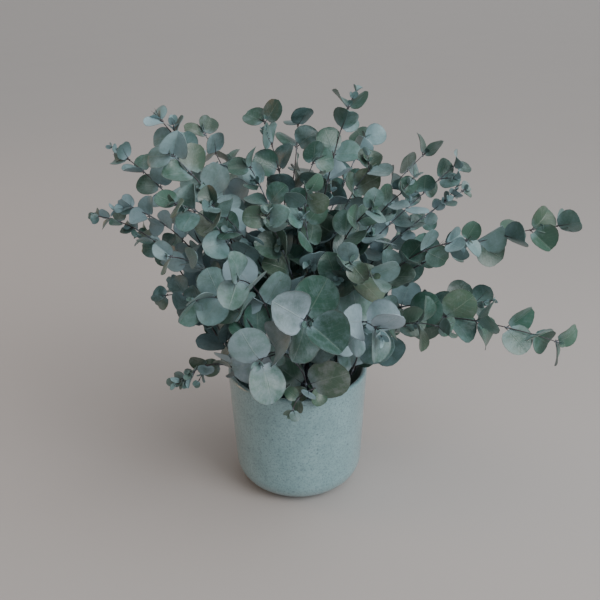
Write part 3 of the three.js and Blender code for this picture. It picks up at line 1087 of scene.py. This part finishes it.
class EUCALYPTUS_OT_shoots(bpy.types.Operator):
    """Build the growing tip of every sprig, its bare twigs and its small side shoots"""

    bl_idname = "eucalyptus.shoots"
    bl_label = "Shoots"

    def execute(self, context):
        looks = context.scene.eucalyptus_leaf
        skins = leaf_skins(context.scene)
        for index, sprig in enumerate(SPRIGS):
            random = np.random.RandomState(SHOOT_SEED + index)
            character = sprig_character(index)
            tip, before = sprig["run"][-1], sprig["run"][-4]
            ahead = unit(tip - before)
            side = unit(np.cross(ahead, unit(random.normal(size=3))))
            shape = Shape()
            bud = tip + ahead * np.array([[-0.001], [0.0], [0.0012], [0.0028], [0.0042]])
            radii = np.array([0.45, 0.55, 0.7, 0.45, 0.05]) / 1000
            add_wood(shape, bud, radii, (1.0, 0.6, 0), sides=6)
            for _ in range(random.choice([0, 2, 3], p=[0.6, 0.2, 0.2])):
                lean = unit(ahead + 0.55 * random.normal(size=3))
                sag = np.array([0, 0, -0.0012])
                reach = random.uniform(0.008, 0.016)
                start = tip + ahead * 0.0015
                twig = [start + lean * reach * k + sag * k * k for k in (0, 0.35, 0.7, 1)]
                add_wood(shape, twig, np.array([0.38, 0.30, 0.22, 0.10]) / 1000, (0.8, 0.3, 0))
            for leaf in sprig["leaves"]:
                if random.uniform() < looks.side_shoots:
                    add_side_shoot(shape, leaf, ahead, character, random, looks)
            root = tip + ahead * 0.0008
            tip_bloom = max(character["bloom"] - character["fresh_tip"], 0.0)
            tone = (tip_bloom, character["depth"], min(character["drying"] + 0.2, 1.0))
            for sense in (-1, 1):
                leaf = young_leaf(root, ahead, sense * side, random, 0.005, 0.009)
                add_leaf(shape, leaf, leaf_habit(random, looks), tone, (1.0, 0.4, 0), looks)
            piece = shape.build(sprig["name"] + "_shoot", skins)
            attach(piece, "root")
        return {"FINISHED"}


def room_world(looks):
    """Even room light, dimmer and warmer on the left."""
    world = bpy.data.worlds.new("room")
    world.use_nodes = True
    tree = world.node_tree
    background = tree.nodes["Background"]
    heading = tree.nodes.new("ShaderNodeTexCoord").outputs["Generated"]
    split = new_node(tree, "ShaderNodeSeparateXYZ", {0: heading})
    side = ramp(tree, split.outputs[0], -0.75, 0.45)
    feed(tree, background.inputs["Color"], blend_colour(tree, side, DIM_SIDE, BRIGHT_SIDE))
    background.inputs["Strength"].default_value = looks.room_light
    return world


def add_light(name, kind, power, colour, place, heading):
    """A light at a place, shining along a heading."""
    light = bpy.data.lights.new(name, kind)
    light.energy = power
    light.color = colour
    lamp = bpy.data.objects.new(name, light)
    bpy.context.scene.collection.objects.link(lamp)
    lamp.location = place
    lamp.rotation_mode = "QUATERNION"
    lamp.rotation_quaternion = heading.to_track_quat("-Z", "Y")
    return light


def add_area_light(name, power, colour, place, size):
    """A large soft light turned to the bunch."""
    light = add_light(name, "AREA", power, colour, place, AIM - Vector(place))
    light.shape = "RECTANGLE"
    light.size, light.size_y = size


class EUCALYPTUS_OT_stage(bpy.types.Operator):
    """Lay the floor and set up the lights and the camera"""

    bl_idname = "eucalyptus.stage"
    bl_label = "Stage"

    def execute(self, context):
        looks = context.scene.eucalyptus_stage
        shape = Shape()
        square = np.array([[-1, -1, 0], [1, -1, 0], [1, 1, 0], [-1, 1, 0]])
        shape.add(FLOOR_REACH * square, [(0, 1, 2, 3)])
        shape.build("floor", [floor_material(looks)])

        add_area_light("window", looks.window_power, WINDOW_COLOUR, WINDOW_PLACE, WINDOW_SIZE)
        add_area_light("lamp", looks.lamp_power, LAMP_COLOUR, LAMP_PLACE, LAMP_SIZE)
        colour, heading = DAYLIGHT_COLOUR, DAYLIGHT_HEADING
        sun = add_light("daylight", "SUN", looks.daylight, colour, (0, 0, 0), heading)
        sun.angle = DAYLIGHT_SPREAD
        context.scene.world = room_world(looks)

        camera = bpy.data.objects.new("camera", bpy.data.cameras.new("camera"))
        context.scene.collection.objects.link(camera)
        camera.data.sensor_width = 36.0
        camera.data.lens = looks.focal_length
        camera.data.clip_start = 0.01
        place = Matrix.Translation((CAMERA_SIDEWAYS, -looks.camera_distance, looks.camera_height))
        tilt = Matrix.Rotation(math.pi / 2 - looks.camera_tilt, 4, "X")
        camera.matrix_world = place @ tilt @ Matrix.Rotation(looks.camera_roll, 4, "Z")
        context.scene.camera = camera
        return {"FINISHED"}


class EUCALYPTUS_PT_bunch(bpy.types.Panel):
    """Sizes, colours and the steps that build the bunch"""

    bl_idname = "EUCALYPTUS_PT_bunch"
    bl_label = "Dried eucalyptus"
    bl_space_type = "VIEW_3D"
    bl_region_type = "UI"
    bl_category = "Eucalyptus"

    def draw(self, context):
        for name, _ in SETTINGS:
            looks = getattr(context.scene, name)
            box = self.layout.box()
            for key in looks.__annotations__:
                box.prop(looks, key)
        for step in STEPS:
            self.layout.operator(step.bl_idname)


SETTINGS = (
    ("eucalyptus_pot", PotSettings),
    ("eucalyptus_stem", StemSettings),
    ("eucalyptus_leaf", LeafSettings),
    ("eucalyptus_stage", StageSettings),
)
STEPS = (
    EUCALYPTUS_OT_pot,
    EUCALYPTUS_OT_stems,
    EUCALYPTUS_OT_leaves,
    EUCALYPTUS_OT_shoots,
    EUCALYPTUS_OT_stage,
)


def register():
    """Adds the settings, the steps and the panel to Blender."""
    for name, settings in SETTINGS:
        bpy.utils.register_class(settings)
        setattr(bpy.types.Scene, name, PointerProperty(type=settings))
    for operator in STEPS:
        bpy.utils.register_class(operator)
    bpy.utils.register_class(EUCALYPTUS_PT_bunch)


def unregister():
    """Takes the panel, the steps and the settings out again."""
    bpy.utils.unregister_class(EUCALYPTUS_PT_bunch)
    for operator in reversed(STEPS):
        bpy.utils.unregister_class(operator)
    for name, settings in reversed(SETTINGS):
        delattr(bpy.types.Scene, name)
        bpy.utils.unregister_class(settings)


def main():
    """Builds the whole scene."""
    register()
    bpy.ops.eucalyptus.pot()
    bpy.ops.eucalyptus.stems()
    bpy.ops.eucalyptus.leaves()
    bpy.ops.eucalyptus.shoots()
    bpy.ops.eucalyptus.stage()


if __name__ == "__main__":
    main()
